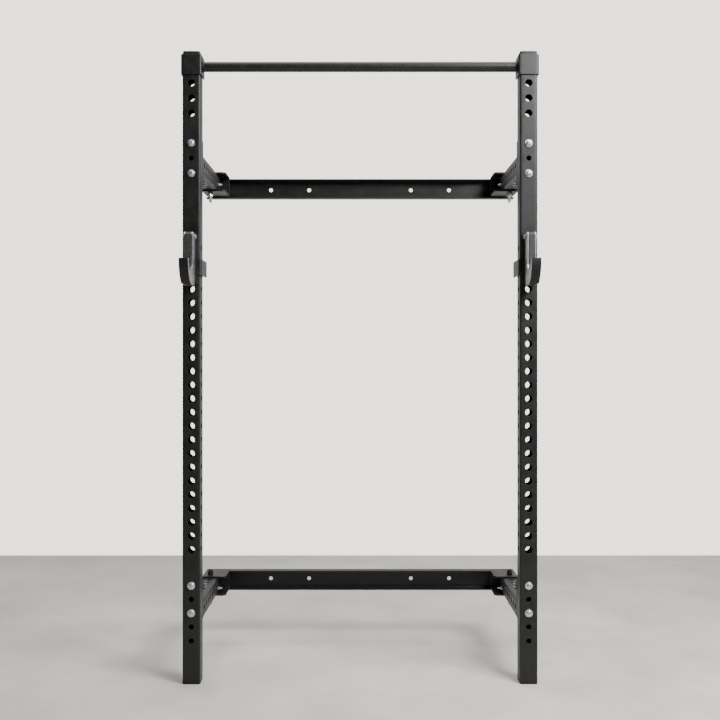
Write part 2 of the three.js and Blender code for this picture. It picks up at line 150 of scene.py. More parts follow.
# %% [markdown]
# The five finishes differ in what covers them. Powder coat is plastic powder melted onto steel: it
# is never quite smooth, and it has an orange-peel surface and a fine grit. Zinc plate is metal with
# a faint crystal mottle. Ground steel has scratches that run one way. Wear plastic is cut from a
# sheet, so it is dull with scratches, and a moulded cap has the even stipple of its mould.
#
# They share one recipe: a broad pattern shifts the colour, a fine one shifts the roughness, and
# both lift the surface a little. Each finish gives that recipe its own sizes.

# %% One recipe for a finish
def finish(name, dark, light, rough, metallic, mottle, grain, relief, stretch=(1, 1, 1), shine=0.5):
    """A material between two colours and two roughnesses. mottle and grain are the sizes of the
    broad and the fine pattern in mm, relief the height in mm of the fine one, stretch draws the
    patterns out along the axes with a value under 1, and shine is how much a clear surface
    mirrors, where 0.5 is usual."""
    material = bpy.data.materials.new(name)
    material.use_nodes = True
    tree = material.node_tree
    tree.nodes.clear()
    place = add_node(tree, "ShaderNodeTexCoord")
    turned = add_node(tree, "ShaderNodeMapping", {"Scale": stretch}, [("Vector", place, "Object")])
    broad = add_node(
        tree,
        "ShaderNodeTexNoise",
        {"Scale": per_mm(mottle), "Detail": 4.0, "Roughness": 0.6},
        [("Vector", turned, "Vector")],
    )
    fine = add_node(
        tree,
        "ShaderNodeTexNoise",
        {"Scale": per_mm(grain), "Detail": 3.0, "Roughness": 0.55},
        [("Vector", turned, "Vector")],
    )
    tint = add_node(tree, "ShaderNodeValToRGB", (), [("Fac", broad, "Fac")])
    tint.color_ramp.elements[0].position = 0.35
    tint.color_ramp.elements[0].color = linear(dark)
    tint.color_ramp.elements[1].position = 0.65
    tint.color_ramp.elements[1].color = linear(light)
    both = add_node(
        tree,
        "ShaderNodeMath",
        {"operation": "MULTIPLY_ADD", 1: 0.5},
        [(0, fine, "Fac"), (2, broad, "Fac")],
    )
    polish = add_node(
        tree,
        "ShaderNodeMapRange",
        {"From Min": 0.45, "From Max": 1.05, "To Min": rough[0], "To Max": rough[1]},
        [("Value", both, "Value")],
    )
    bump = add_node(
        tree,
        "ShaderNodeBump",
        {"Strength": 0.6, "Distance": relief * MM},
        [("Height", fine, "Fac")],
    )
    shader = add_node(
        tree,
        "ShaderNodeBsdfPrincipled",
        {"Metallic": metallic, "Specular IOR Level": shine},
        [
            ("Base Color", tint, "Color"),
            ("Roughness", polish, "Result"),
            ("Normal", bump, "Normal"),
        ],
    )
    add_node(tree, "ShaderNodeOutputMaterial", (), [("Surface", shader, "BSDF")])
    return material


# %% The five finishes
# The real grit of each is 0.1 to 0.3 mm, and it is drawn at up to five times that size, because
# anything finer doesn't show while the whole rack is in view.
FINISHES = {
    # Satin black polyester powder, sprayed and baked: soft wide highlights, with orange peel.
    "powder_coat": finish(
        "satin_powder_coat", "#111213", "#18191a", (0.38, 0.54), 0.0, 38, 1.4, 0.05, shine=0.4
    ),
    # Black polyethylene moulded in a stippled tool: duller than the coat and quite even.
    "moulded_plastic": finish(
        "moulded_polyethylene", "#0b0b0c", "#101011", (0.5, 0.66), 0.0, 12, 0.8, 0.06, shine=0.35
    ),
    # Bright zinc, plated and passivated: pale grey with a faint crystal mottle.
    "zinc_plate": finish("bright_zinc_plate", "#b4b8bc", "#dcdee0", (0.24, 0.42), 0.85, 3, 0.7, 0.02),
    # Mild steel ground along its length: fine lines that run up and down.
    "bare_steel": finish(
        "ground_mild_steel", "#808285", "#b2b4b6", (0.3, 0.5), 1.0, 6, 0.9, 0.02, (1, 1, 0.05)
    ),
    # Ultra-high-molecular-weight polyethylene sheet, sawn to shape: dull, with small scratches.
    "liner_plastic": finish(
        "sawn_wear_plastic", "#2a2a2b", "#363637", (0.5, 0.7), 0.0, 9, 1.0, 0.05, (1, 0.3, 1), 0.35
    ),
}
print("finishes:", ", ".join(m.name for m in FINISHES.values()))

# %% [markdown]
# A finished piece is a mesh with a small rounding on its hard edges. Nothing made of metal has a
# perfectly sharp edge, and the rounding is what catches the light. The Bevel modifier does it, with
# hardened normals so that the flat faces beside an edge still look flat. Then the piece is given
# the finish it wears and joined to the body that carries it, and the imported nodes it stands for are
# hidden.

# %% Finish a piece
EDGE = 0.7  # rounding of sheet and tube edges
CREASE = math.radians(30)  # edges that turn more than this are hard


def piece(name, grids, body, slot, stands_for=(), edge=EDGE):
    """Makes a piece, rounds its hard edges, and joins it to the frame."""
    mesh = welded_mesh(name, grids)
    mesh.shade_smooth()
    mesh.set_sharp_from_angle(angle=CREASE)
    mesh.materials.append(FINISHES[slot])
    made = bpy.data.objects.new(name, mesh)
    bpy.context.scene.collection.objects.link(made)
    if edge:
        bevel = made.modifiers.new("edges", "BEVEL")
        bevel.width = edge * MM
        bevel.segments = 2
        bevel.limit_method = "ANGLE"
        bevel.angle_limit = CREASE
        bevel.harden_normals = True
    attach(made, body)
    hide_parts(*stands_for)
    return made


# %% [markdown]
# Most of the rack is folded or rolled sheet: square tube, channel, clevises, saddles, brackets and
# flat flanges. They are one idea. A section is a path of flats and bends with a wall on its left,
# and the sheet is that section carried along a length. The length is cut into cells. In a cell
# with a hole, the flat is not a plain grid: its points run round the cell's edge, shrink onto the
# hole's circle, pass through the wall and spread out again behind. Boolean cuts would do it too,
# but they leave long thin faces that shade badly, and this keeps every hole round and clean.

# %% A section of flats and bends
FLAT_STEPS = 8  # faces across a flat, and along a cell; a hole has four times as many sides
BEND_STEPS = 6


def section(outline, bend, wall, closed=False):
    """Flats and bends of a section, each as its outer and inner points. The outline holds the
    outer corners with the wall on the left; a bend is a quarter circle of that outer radius."""
    outline = np.array(outline, float)
    following = np.roll(outline, -1, axis=0)
    count = len(outline) if closed else len(outline) - 1
    along = (following - outline)[:count]
    along /= np.linalg.norm(along, axis=1)[:, None]
    outward = np.stack([along[:, 1], -along[:, 0]], axis=1)
    parts = []
    for i in range(count):
        bent_before, bent_after = closed or i > 0, closed or i < count - 1
        start = outline[i] + along[i] * bend * bent_before
        end = following[i] - along[i] * bend * bent_after
        outer = start + np.linspace(0, 1, FLAT_STEPS + 1)[:, None] * (end - start)
        parts.append(("flat", outer, outer - outward[i] * wall))
        if bent_after:
            centre = end - outward[i] * bend
            turn = np.linspace(0, math.pi / 2, BEND_STEPS + 1)[:, None]
            ray = np.cos(turn) * outward[i] + np.sin(turn) * along[i]
            parts.append(("bend", centre + ray * bend, centre + ray * (bend - wall)))
    return parts


# %% Cells along a length
def cells(start, end, levels, reach):
    """Cuts a length at each hole's level less and plus its reach: (from, to, level or None)."""
    cuts, here = [], start
    for level in sorted(levels):
        if level - reach - here > 1e-6:
            cuts.append((here, level - reach, None))
        cuts.append((level - reach, level + reach, level))
        here = level + reach
    if end - here > 1e-6:
        cuts.append((here, end, None))
    return cuts


# %% Carry a section along a length
def drilled_flat(outer, inner, low, high, level, radius, place=0.5):
    """Rows of points from the cell's edge to the hole, through the wall, and out to the edge
    behind, as (across, across, along). place is the hole's share of the way across the flat."""
    sides = 4 * FLAT_STEPS
    step = np.arange(FLAT_STEPS) / FLAT_STEPS
    zero, one = np.zeros(FLAT_STEPS), np.ones(FLAT_STEPS)
    s = np.concatenate([step, one, 1 - step, zero])
    t = np.concatenate([zero, step, one, 1 - step])
    across = outer[-1] - outer[0]
    width = np.linalg.norm(across)
    turn = np.linspace(0, 2 * math.pi, sides, endpoint=False) + 1.25 * math.pi
    hole_s, hole_l = place + radius * np.cos(turn) / width, level + radius * np.sin(turn)
    edge_l = low + t * (high - low)
    through = inner[0] - outer[0]
    edge, hole = (s, edge_l), (hole_s, hole_l)
    rows = []
    for share, length, depth in ((*edge, 0), (*hole, 0), (*hole, 1), (*edge, 1)):
        flat = outer[0] + share[:, None] * across + depth * through
        rows.append(np.concatenate([flat, length[:, None]], axis=1))
    return np.stack(rows)


def strip(points, lengths):
    """A plain grid: the section's points at each length."""
    flat = np.broadcast_to(points[None], (len(lengths), *points.shape))
    along = np.broadcast_to(lengths[:, None, None], (len(lengths), len(points), 1))
    return np.concatenate([flat, along], axis=2)


def carried(parts, cuts, holes, closed=False):
    """Grids of a section carried along its cells. holes maps a level to {flat number: hole}, and a
    hole is its diameter, or its diameter and its share of the way across the flat."""
    grids = []
    for low, high, level in cuts:
        lengths = np.linspace(low, high, FLAT_STEPS + 1)
        flat_number = -1
        for kind, outer, inner in parts:
            flat_number += kind == "flat"
            hole = holes.get(level, {}).get(flat_number) if kind == "flat" else None
            if hole:
                diameter, *place = hole if isinstance(hole, tuple) else (hole,)
                ring = drilled_flat(outer, inner, low, high, level, diameter / 2, *place)
                grids.append((ring, True))
            else:
                grids += [(strip(outer, lengths), False), (strip(inner, lengths), False)]
        if not closed:
            for (_, outer, inner), k in ((parts[0], 0), (parts[-1], -1)):
                grids.append((strip(np.stack([outer[k], inner[k]]), lengths), False))
    for end in (cuts[0][0], cuts[-1][1]):
        for _, outer, inner in parts:
            rim = np.stack([outer, inner])
            level = np.full((2, len(outer), 1), end)
            grids.append((np.concatenate([rim, level], axis=2), False))
    return grids


def laid(grids, order, shift=(0, 0, 0)):
    """The grids with their three numbers put in x, y, z order, and moved."""
    return [(grid[..., list(order)] + np.array(shift, float), ring) for grid, ring in grids]


# %% [markdown]
# The uprights are square tube with a row of round holes from front to back for the J-cups, and a
# row of smaller ones from side to side at the same levels. A few more holes take bolts.

# %% Sizes of the tube and its holes
TUBE = 60
TUBE_WALL = 3
TUBE_BEND = 6
HOLE_PITCH = 46.3
PEG_HOLE = 24
SIDE_HOLE = 18
LOWEST_PEG, PEG_HOLES = 451.3, 23
TOP_DROP, TOP_PITCH, TOP_HOLES = 96, 50.8, 3
PEG_LEVELS = [LOWEST_PEG + HOLE_PITCH * i for i in range(PEG_HOLES)]
TOP_LEVELS = [floor_to_top - TOP_DROP - TOP_PITCH * i for i in range(TOP_HOLES)]
SPARE_HOLE = 17
SPARE_BEHIND = {"upper": 1770.8, "lower": 285.3}  # the ones that also pass through a flange
SPARE_LEVELS = [145.7, 192.4, *SPARE_BEHIND.values()]
FRONT, RIGHT, BACK, LEFT = range(4)


def square(side):
    """Corners of a square about the origin, anticlockwise."""
    h = side / 2
    return [(-h, -h), (h, -h), (h, h), (-h, h)]


tube_section = section(square(TUBE), TUBE_BEND, TUBE_WALL, closed=True)
print(len(PEG_LEVELS), "peg holes in each upright")

# %% The uprights
upright_holes = {level: {FRONT: SPARE_HOLE, BACK: SPARE_HOLE} for level in SPARE_LEVELS}
upright_holes |= {level: {FRONT: PEG_HOLE, BACK: PEG_HOLE} for level in TOP_LEVELS}
upright_holes |= {
    level: {FRONT: PEG_HOLE, RIGHT: SIDE_HOLE, BACK: PEG_HOLE, LEFT: SIDE_HOLE}
    for level in PEG_LEVELS
}
HOLE_REACH = 18
for side in SIDES:
    low, high = corners(f"{side}_upright")
    cuts = cells(low[2], high[2], upright_holes, HOLE_REACH)
    centre = middle(f"{side}_upright")
    tube = laid(carried(tube_section, cuts, upright_holes, True), (0, 1, 2), (*centre[:2], 0))
    made = piece(f"{side}_upright_tube", tube, "frame", "powder_coat", [f"{side}_upright"])
    print(made.name, len(made.data.polygons), "faces")

# %% [markdown]
# Each arm is the same square tube, drilled on all four sides, and welded to a flange that bolts to
# the back of the upright. The weld is a bead of melted metal with ripples, one for each small step
# of the welder's hand. It is a round cord whose radius rises and falls along its length.

# %% Beads of weld
BEAD = 3.2
RIPPLE = 4.5  # length of one ripple


def bead(start, end, radius=BEAD):
    """Grid of a straight rippled bead: a circle whose radius is radius * (1 + wave), and which
    closes to a point at both ends."""
    start, end = np.array(start, float), np.array(end, float)
    length = np.linalg.norm(end - start)
    share = np.linspace(0, 1, int(length / RIPPLE * 6) + 1)
    size = radius * (1 + 0.1 * np.cos(2 * math.pi * share * length / RIPPLE))
    size *= np.clip(np.minimum(share, 1 - share) * length / radius, 0, 1) ** 0.5
    turn = np.linspace(0, 2 * math.pi, 12, endpoint=False)
    along = (end - start) / length
    side = np.roll(along, 1)
    other = np.cross(along, side)
    ring = np.cos(turn)[:, None] * side + np.sin(turn)[:, None] * other
    line = start + share[:, None] * (end - start)
    return line[:, None] + size[:, None, None] * ring[None], True


def ring_bead(centre, ring_radius, radius=BEAD):
    """Grid of a rippled bead round a circle about the x axis: a torus with the same wave."""
    steps = int(2 * math.pi * ring_radius / RIPPLE) * 6
    around = np.linspace(0, 2 * math.pi, steps + 1)[:, None]
    turn = np.linspace(0, 2 * math.pi, 12, endpoint=False)[None]
    size = radius * (1 + 0.1 * np.cos(around * (steps / 6)))
    reach = ring_radius + size * np.cos(turn)
    points = [size * np.sin(turn), reach * np.cos(around), reach * np.sin(around)]
    return np.stack(points, axis=-1) + np.array(centre, float), True


# %% The arms
CLEVIS_HIGH = 73.2  # over both plates of the clevis that holds an arm's end
ARM_HOLE = 20
ARM_HOLES = 7
FIRST_ARM_HOLE = 38
FLANGE = 8
plate_section = section([(-TUBE / 2, 0), (TUBE / 2, 0)], 0, FLANGE)
for side in SIDES:
    for tier in TIERS:
        node = f"{side}_{tier}_arm"
        low, high = corners(node)
        clevis_top = corners(f"{side}_{tier}_clevis")[1][2]
        x, level = middle(node)[0], clevis_top - CLEVIS_HIGH / 2
        back = corners(f"{side}_upright")[1][1]
        levels = [back + FIRST_ARM_HOLE + HOLE_PITCH * i for i in range(ARM_HOLES)]
        arm_holes = {y: dict.fromkeys((FRONT, RIGHT, BACK, LEFT), ARM_HOLE) for y in levels}
        cuts = cells(low[1] + FLANGE, high[1], arm_holes, HOLE_REACH)
        tube = laid(carried(tube_section, cuts, arm_holes, True), (0, 2, 1), (x, 0, level))
        piece(f"{node}_tube", tube, "frame", "powder_coat", [node])
        plate_holes = {SPARE_BEHIND[tier]: {0: SPARE_HOLE}}
        plate_cuts = cells(low[2], high[2], plate_holes, HOLE_REACH)
        plate = laid(carried(plate_section, plate_cuts, plate_holes), (0, 1, 2), (x, low[1], 0))
        piece(f"{node}_flange", plate, "frame", "powder_coat")
        half = TUBE / 2
        for word, way in (("top", 1), ("bottom", -1)):
            z = level + way * half
            if low[2] + BEAD < z < high[2] - BEAD:
                y = low[1] + FLANGE
                weld = bead((x - half + BEAD, y, z), (x + half - BEAD, y, z))
                piece(f"{node}_{word}_weld", [weld], "frame", "powder_coat", edge=0)
print("arm holes", HOLE_PITCH, "mm apart")

# %% [markdown]
# The wall channels are steel sheet folded into a C, with bolt holes through the web. Each clevis is
# a thicker sheet folded into a U, and the arm pivots between its two plates. Its front inner
# corners are cut off, so the points there are held back behind a slanting line.

# %% The wall channels
CHANNEL_WALL = 4
CHANNEL_BEND = 6
STUD_HOLE = 15
STUD_LEVELS = [-350, -200, 200, 350]
WEB = 1
for tier in TIERS:
    low, high = corners(f"{tier}_channel")
    outline = [(low[1], low[2]), (high[1], low[2]), (high[1], high[2]), (low[1], high[2])]
    stud_holes = {x: {WEB: STUD_HOLE} for x in STUD_LEVELS}
    cuts = cells(low[0], high[0], stud_holes, HOLE_REACH)
    folded = carried(section(outline, CHANNEL_BEND, CHANNEL_WALL), cuts, stud_holes)
    node = f"{tier}_channel"
    made = piece(f"{node}_fold", laid(folded, (2, 0, 1)), "frame", "powder_coat", [node])
    print(made.name, len(made.data.polygons), "faces")

# %% The clevises
CLEVIS_DEPTH = 120
CLEVIS_WALL = 6
CLEVIS_BEND = 9
CORNER_CUT = 9
for side, way in SIDES.items():
    for tier in TIERS:
        node = f"{side}_{tier}_clevis"
        low, high = corners(node)
        inner_x, back = (low if way > 0 else high)[0], low[1] + CLEVIS_DEPTH
        foot = high[2] - CLEVIS_HIGH
        outline = [(low[1], foot), (back, foot), (back, high[2]), (low[1], high[2])]
        grids = carried(section(outline, CLEVIS_BEND, CLEVIS_WALL), cells(low[0], high[0], [], 0), {})
        for grid, _ in grids:
            from_corner = np.abs(grid[..., 2] - inner_x)
            grid[..., 0] = np.maximum(grid[..., 0], low[1] + CORNER_CUT - from_corner)
        piece(f"{node}_fold", laid(grids, (2, 0, 1)), "frame", "powder_coat", [node])
        x_ends = (low[0] + BEAD, high[0] - BEAD)
        for word, seat in (("top", high[2] - BEAD), ("bottom", foot + BEAD)):
            y = back - BEAD / 2
            weld = bead((x_ends[0], y, seat), (x_ends[1], y, seat))
            piece(f"{node}_{word}_weld", [weld], "frame", "powder_coat", edge=0)
print("clevises", CLEVIS_DEPTH, "mm deep")

# %% [markdown]
# Round pieces are turned: a profile of radius against height goes round an axis. A thread is the
# same idea with one change. Its radius depends on the height less a share of the turn, so the ridge
# climbs as it goes round, as the real helix does. A hexagon's radius depends on the angle alone,
# and its corners are cut by a shallow cone, which gives the curved edges of a real nut.

# %% Turned, threaded and six-sided pieces
TURN_SIDES = 40


def toward(points, origin, axis):
    """Points drawn about +Z, turned so that +Z goes along the axis, and moved to the origin."""
    z = np.array(axis, float)
    x = np.roll(z, 1)
    return points @ np.array([x, np.cross(z, x), z]) + np.array(origin, float)


def turned(profile, origin, axis, sides=TURN_SIDES):
    """A grid that carries (radius, height) round the axis."""
    radius, height = np.array(profile, float).T[:, :, None]
    turn = np.linspace(0, 2 * math.pi, sides, endpoint=False)[None]
    points = [radius * np.cos(turn), radius * np.sin(turn), height + 0 * turn]
    return toward(np.stack(points, axis=-1), origin, axis), True


def threaded(diameter, pitch, length, origin, axis):
    """A grid of a threaded shaft: radius falls by a triangle wave of height less turn."""
    rows = int(length / pitch * 8) + 1
    height = np.linspace(0, length, rows)[:, None]
    turn = np.linspace(0, 2 * math.pi, TURN_SIDES, endpoint=False)[None]
    phase = (height / pitch - turn / (2 * math.pi)) % 1
    depth = 0.55 * pitch * np.abs(2 * phase - 1)
    ends = np.clip(np.minimum(height, length - height) / (pitch / 2), 0, 1)
    radius = (diameter / 2 - depth) * (0.85 + 0.15 * ends)
    radius[0], radius[-1] = 0, 0
    points = [radius * np.cos(turn), radius * np.sin(turn), height + 0 * turn]
    return toward(np.stack(points, axis=-1), origin, axis), True


def six_sided(across_flats, height, bore, origin, axis):
    """A grid of a nut or head from its base to its chamfered top; a bore of 0 closes it."""
    turn = np.linspace(0, 2 * math.pi, 72, endpoint=False)[None]
    apothem = across_flats / 2
    hexagon = apothem / np.cos((turn + math.pi / 6) % (math.pi / 3) - math.pi / 6)
    crown = apothem * 0.95
    drop = (hexagon - crown) * math.tan(math.radians(30))
    inner = np.full_like(turn, bore / 2)
    circle = np.full_like(turn, crown)
    radius = np.concatenate([inner, circle, hexagon, hexagon, circle, inner, inner])
    level = np.zeros_like(turn)
    heights = [level, level, drop, height - drop, level + height, level + height, level]
    points = [radius * np.cos(turn), radius * np.sin(turn), np.concatenate(heights)]
    return toward(np.stack(points, axis=-1), origin, axis), True


# %% The bolts through the uprights
WASHER = 13
HEAD = 10
WASHER_HEIGHT = 2.4
DOME = 6.7
SOCKET = 3  # half the width of the recess for a key
SOCKET_DEPTH = 2
BOLT = 14
PITCH = 2


def domed_profile():
    """Washer, head and dome: a quarter ellipse rises from the head's rim to the key's recess."""
    rise = np.linspace(0, math.acos(SOCKET / HEAD), 9)
    top = WASHER_HEIGHT + DOME
    dome = np.stack([HEAD * np.cos(rise), WASHER_HEIGHT + 2 + (DOME - 2) * np.sin(rise)], axis=1)
    socket = [(SOCKET - 0.4, top - SOCKET_DEPTH), (0, top - SOCKET_DEPTH)]
    base = [(0, 0), (WASHER - 0.4, 0), (WASHER, 0.4), (WASHER, WASHER_HEIGHT - 0.5)]
    rim = [(WASHER - 0.5, WASHER_HEIGHT), (HEAD, WASHER_HEIGHT)]
    return np.concatenate([base, rim, dome, socket])


for side in SIDES:
    for tier in TIERS:
        for number in (1, 2):
            node, nut = f"{side}_{tier}_bolt_{number}", f"{side}_{tier}_nut_{number}"
            (low, high), (nut_low, nut_high) = corners(node), corners(nut)
            x, _, z = middle(node)
            seat = low[1] + WASHER_HEIGHT + DOME
            head = turned(domed_profile(), (x, seat, z), (0, -1, 0))
            piece(f"{node}_head", [head], "frame", "zinc_plate", [node], edge=0)
            start = nut_low[1] - PITCH
            shaft = threaded(BOLT, PITCH, high[1] - start, (x, start, z), (0, 1, 0))
            piece(f"{node}_thread", [shaft], "frame", "zinc_plate", edge=0)
            size = nut_high - nut_low
            hexagon = six_sided(size[0], size[1], BOLT, (x, nut_low[1], z), (0, 1, 0))
            piece(f"{nut}_hexagon", [hexagon], "frame", "zinc_plate", [nut], edge=0.3)
print("domed heads", 2 * HEAD, "mm across")

# %% [markdown]
# A bolt drops through each clevis and the arm between its plates, with a long thread below its
# nut and a black moulded cap pressed over its head. The cap is six-sided, with a round button on
# top. A thinner bolt crosses the end of the arm, with its head outside and its nut inside.

# %% The pivots and the bolts across the arms
PIVOT = 12
PIVOT_PITCH = 1.75
BUTTON = 8
BUTTON_HIGH = 7
CROSS = 8
CROSS_PITCH = 1.25
CROSS_HEAD = 6
for side, way in SIDES.items():
    for tier in TIERS:
        bolt, nut = f"{side}_{tier}_pivot_bolt", f"{side}_{tier}_pivot_nut"
        (low, high), (nut_low, nut_high) = corners(bolt), corners(nut)
        x, y, _ = middle(bolt)
        flats = high[1] - low[1]
        seat = corners(f"{side}_{tier}_clevis")[1][2] + TOUCH_GAP
        shoulder = high[2] - BUTTON_HIGH
        cap = six_sided(flats, shoulder - seat, 0, (x, y, seat), (0, 0, 1))
        piece(f"{bolt}_cap", [cap], "frame", "moulded_plastic", [bolt], edge=0.3)
        rim = BUTTON_HIGH - 2
        profile = [(0, 0), (BUTTON, 0), (BUTTON, rim), (BUTTON - 2, BUTTON_HIGH), (0, BUTTON_HIGH)]
        button = turned(profile, (x, y, shoulder), (0, 0, 1))
        piece(f"{bolt}_button", [button], "frame", "moulded_plastic", edge=0.6)
        length = nut_high[2] - low[2]
        shaft = threaded(PIVOT, PIVOT_PITCH, length, (x, y, low[2]), (0, 0, 1))
        piece(f"{bolt}_thread", [shaft], "frame", "zinc_plate", edge=0)
        size = nut_high - nut_low
        hexagon = six_sided(flats, size[2], PIVOT, (x, y, nut_low[2]), (0, 0, 1))
        piece(f"{nut}_hexagon", [hexagon], "frame", "zinc_plate", [nut], edge=0.3)
        cross = f"{side}_{tier}_arm_bolt"
        (low, high), arm = corners(cross), middle(cross)
        centre_x = middle(f"{side}_{tier}_arm")[0]
        seat = TUBE / 2 + TOUCH_GAP
        flats = high[1] - low[1]
        for word, face in (("head", way), ("nut", -way)):
            end = (centre_x + face * seat, arm[1], arm[2])
            hexagon = six_sided(flats, CROSS_HEAD, 0, end, (face, 0, 0))
            stands_for = [cross] if word == "head" else []
            piece(f"{cross}_{word}", [hexagon], "frame", "zinc_plate", stands_for, edge=0.3)
        tip = low[0] if way > 0 else high[0]
        start = centre_x - way * (seat + CROSS_HEAD - 1)
        shaft = threaded(CROSS, CROSS_PITCH, abs(tip - start), (start, arm[1], arm[2]), (-way, 0, 0))
        piece(f"{cross}_thread", [shaft], "frame", "zinc_plate", edge=0)
print("pivots", PIVOT, "mm thick")

# %% [markdown]
# The ends of the uprights are closed by moulded caps. A cap is a rounded square whose side and
# corners change with height: a plug inside the tube, then a plate with a softly rounded rim. So it
# is one grid of rounded squares, each with its own side and height.

# %% Rounded squares
def rounded_square(side, radius):
    """Points round a square with quarter-circle corners: corner centre plus radius times ray."""
    turn = (np.linspace(0, math.pi / 2, 7)[None] + np.arange(4)[:, None] * math.pi / 2).ravel()
    half = side / 2 - radius
    quarter = np.repeat(np.arange(4), 7)
    centre_x = np.array([half, -half, -half, half])[quarter]
    centre_y = np.array([half, half, -half, -half])[quarter]
    return np.stack([centre_x + radius * np.cos(turn), centre_y + radius * np.sin(turn)], axis=1)


def stacked_squares(rows, x, y):
    """A grid of rounded squares, one for each (side, corner radius, height)."""
    rings = [np.c_[rounded_square(s, r) + (x, y), np.full(28, z)] for s, r, z in rows]
    return np.stack(rings), True


# %% The caps
PLUG = TUBE - 2 * (TUBE_WALL + TOUCH_GAP)
for side in SIDES:
    for word in ("top", "foot"):
        node = f"{side}_{word}_cap"
        low, high = corners(node)
        x, y, _ = middle(node)
        wide = high[0] - low[0]
        if word == "top":
            seat, crown = floor_to_top + TOUCH_GAP, high[2]
            rows = [(0, 0, low[2]), (PLUG, 3, low[2]), (PLUG, 3, seat), (wide, 6, seat)]
            rows += [(wide, 6, crown - 2.5), (wide - 1.4, 5.4, crown - 0.7), (wide - 5, 4, crown)]
            rows += [(0, 0, crown)]
        else:
            seat = corners(f"{side}_upright")[0][2] - TOUCH_GAP
            rows = [(0, 0, low[2]), (wide - 3, 5, low[2]), (wide, 6, low[2] + 1.5), (wide, 6, seat)]
            rows += [(PLUG, 3, seat), (PLUG, 3, high[2]), (0, 0, high[2])]
        cap = stacked_squares(rows, x, y)
        piece(f"{node}_moulding", [cap], "frame", "moulded_plastic", [node], edge=0.4)
        print(node, round(wide), "mm wide")

# %% [markdown]
# The pull-up bar is a round tube welded at each end to a saddle. A saddle is sheet folded round
# three sides of the upright, open at the back, so the bar lifts straight off.

# %% The pull-up bar and its saddles
SADDLE_WALL = 4
SADDLE_BEND = 6
BAR_WELD = 2
low, high = corners("pull_up_bar")
half = (high[0] - low[0]) / 2
radius = (high[2] - low[2]) / 2
centre = middle("pull_up_bar")
profile = [(0, 0), (radius, 0), (radius, 2 * half), (0, 2 * half)]
rod = turned(profile, (low[0], *centre[1:]), (1, 0, 0), 64)
piece("pull_up_bar_tube", [rod], "pull_up_bar", "powder_coat", ["pull_up_bar"], edge=0.4)
for side, way in SIDES.items():
    weld = ring_bead((centre[0] + way * (half - BAR_WELD), *centre[1:]), radius, BAR_WELD)
    piece(f"{side}_bar_weld", [weld], "pull_up_bar", "powder_coat", edge=0)
    low, high = corners(f"{side}_saddle")
    outline = [(low[0], high[1]), (low[0], low[1]), (high[0], low[1]), (high[0], high[1])]
    grids = carried(section(outline, SADDLE_BEND, SADDLE_WALL), cells(low[2], high[2], [], 0), {})
    node = f"{side}_saddle"
    piece(f"{node}_fold", laid(grids, (0, 1, 2)), "pull_up_bar", "powder_coat", [node])
print("bar", round(2 * radius), "mm thick and", round(2 * half), "mm long")

# %% [markdown]
# A J-cup is a sandwich: two steel plates with wear plastic between them, and a plastic pad down the
# front of the lip. Each is a J cut from sheet. A J is a ribbon between two lines: one runs down the
# leg, round the cradle and up the lip, and the other follows behind it. Both are cut into the same
# number of steps, so a four-cornered profile can be carried along the pair.

# %% Lines of a J
LEG_STEPS, CORNER_STEPS, FLOOR_STEPS, LIP_STEPS = 10, 12, 4, 6


def line(start, end, steps):
    """Evenly spaced points from start up to, but not including, end."""
    share = np.linspace(0, 1, steps, endpoint=False)[:, None]
    return np.array(start, float) + share * (np.array(end, float) - np.array(start, float))


def arc(centre, radius, start, end, steps):
    """Points on a circle from one angle up to, but not including, another."""
    turn = np.linspace(math.radians(start), math.radians(end), steps, endpoint=False)[:, None]
    return np.array(centre, float) + radius * np.concatenate([np.cos(turn), np.sin(turn)], axis=1)


def ribbon(inside, outside, x_low, x_high):
    """Grids of a flat ribbon between two lines in (y, z), as thick as x_high less x_low."""
    around = [(x_low, inside), (x_low, outside), (x_high, outside), (x_high, inside)]
    body = np.stack([np.c_[np.full(len(path), x), path] for x, path in around], axis=1)
    ends = [(body[k][[[0, 1], [3, 2]]], False) for k in (0, -1)]
    return [(body, True), *ends]


# %% Shapes of the J
PEG_LEVEL = PEG_LEVELS[-1]
LEG_FRONT, LIP_DROP = 60, 49
CRADLE, CRADLE_CORNER, CRADLE_FLOOR = 70, 22, 82
HEEL, CROWN, NOSE = 18, 8, 75
LINER_PROUD = 1.5


def j_lines(low, high, front, proud):
    """The two lines of a J in (y, z). front is the upright's front face."""
    bottom, top, back, lip_front = low[2], high[2], high[1], low[1]
    leg = front - LEG_FRONT - proud
    far = leg - CRADLE + 2 * proud
    floor_z, lip_top = PEG_LEVEL - CRADLE_FLOOR + proud, PEG_LEVEL - LIP_DROP
    r, z = CRADLE_CORNER, floor_z + CRADLE_CORNER
    inside = [
        line((leg + CROWN, top), (leg, top - CROWN), 2),
        line((leg, top - CROWN), (leg, z), LEG_STEPS),
        arc((leg - r, z), r, 0, -90, CORNER_STEPS),
        line((leg - r, floor_z), (far + r, floor_z), FLOOR_STEPS),
        arc((far + r, z), r, -90, -180, CORNER_STEPS),
        line((far, z), (far, lip_top), LIP_STEPS),
        [(far, lip_top)],
    ]
    outside = [
        line((back, top), (back, top - CROWN), 2),
        line((back, top - CROWN), (back, bottom + HEEL), LEG_STEPS),
        line((back, bottom + HEEL), (back - HEEL, bottom), CORNER_STEPS // 2),
        line((back - HEEL, bottom), (lip_front + NOSE, bottom), CORNER_STEPS // 2),
        arc((lip_front + NOSE, bottom + NOSE), NOSE, -90, -180, FLOOR_STEPS + CORNER_STEPS),
        line((lip_front, bottom + NOSE), (lip_front, lip_top), LIP_STEPS),
        [(lip_front, lip_top)],
    ]
    return np.concatenate(inside), np.concatenate(outside)


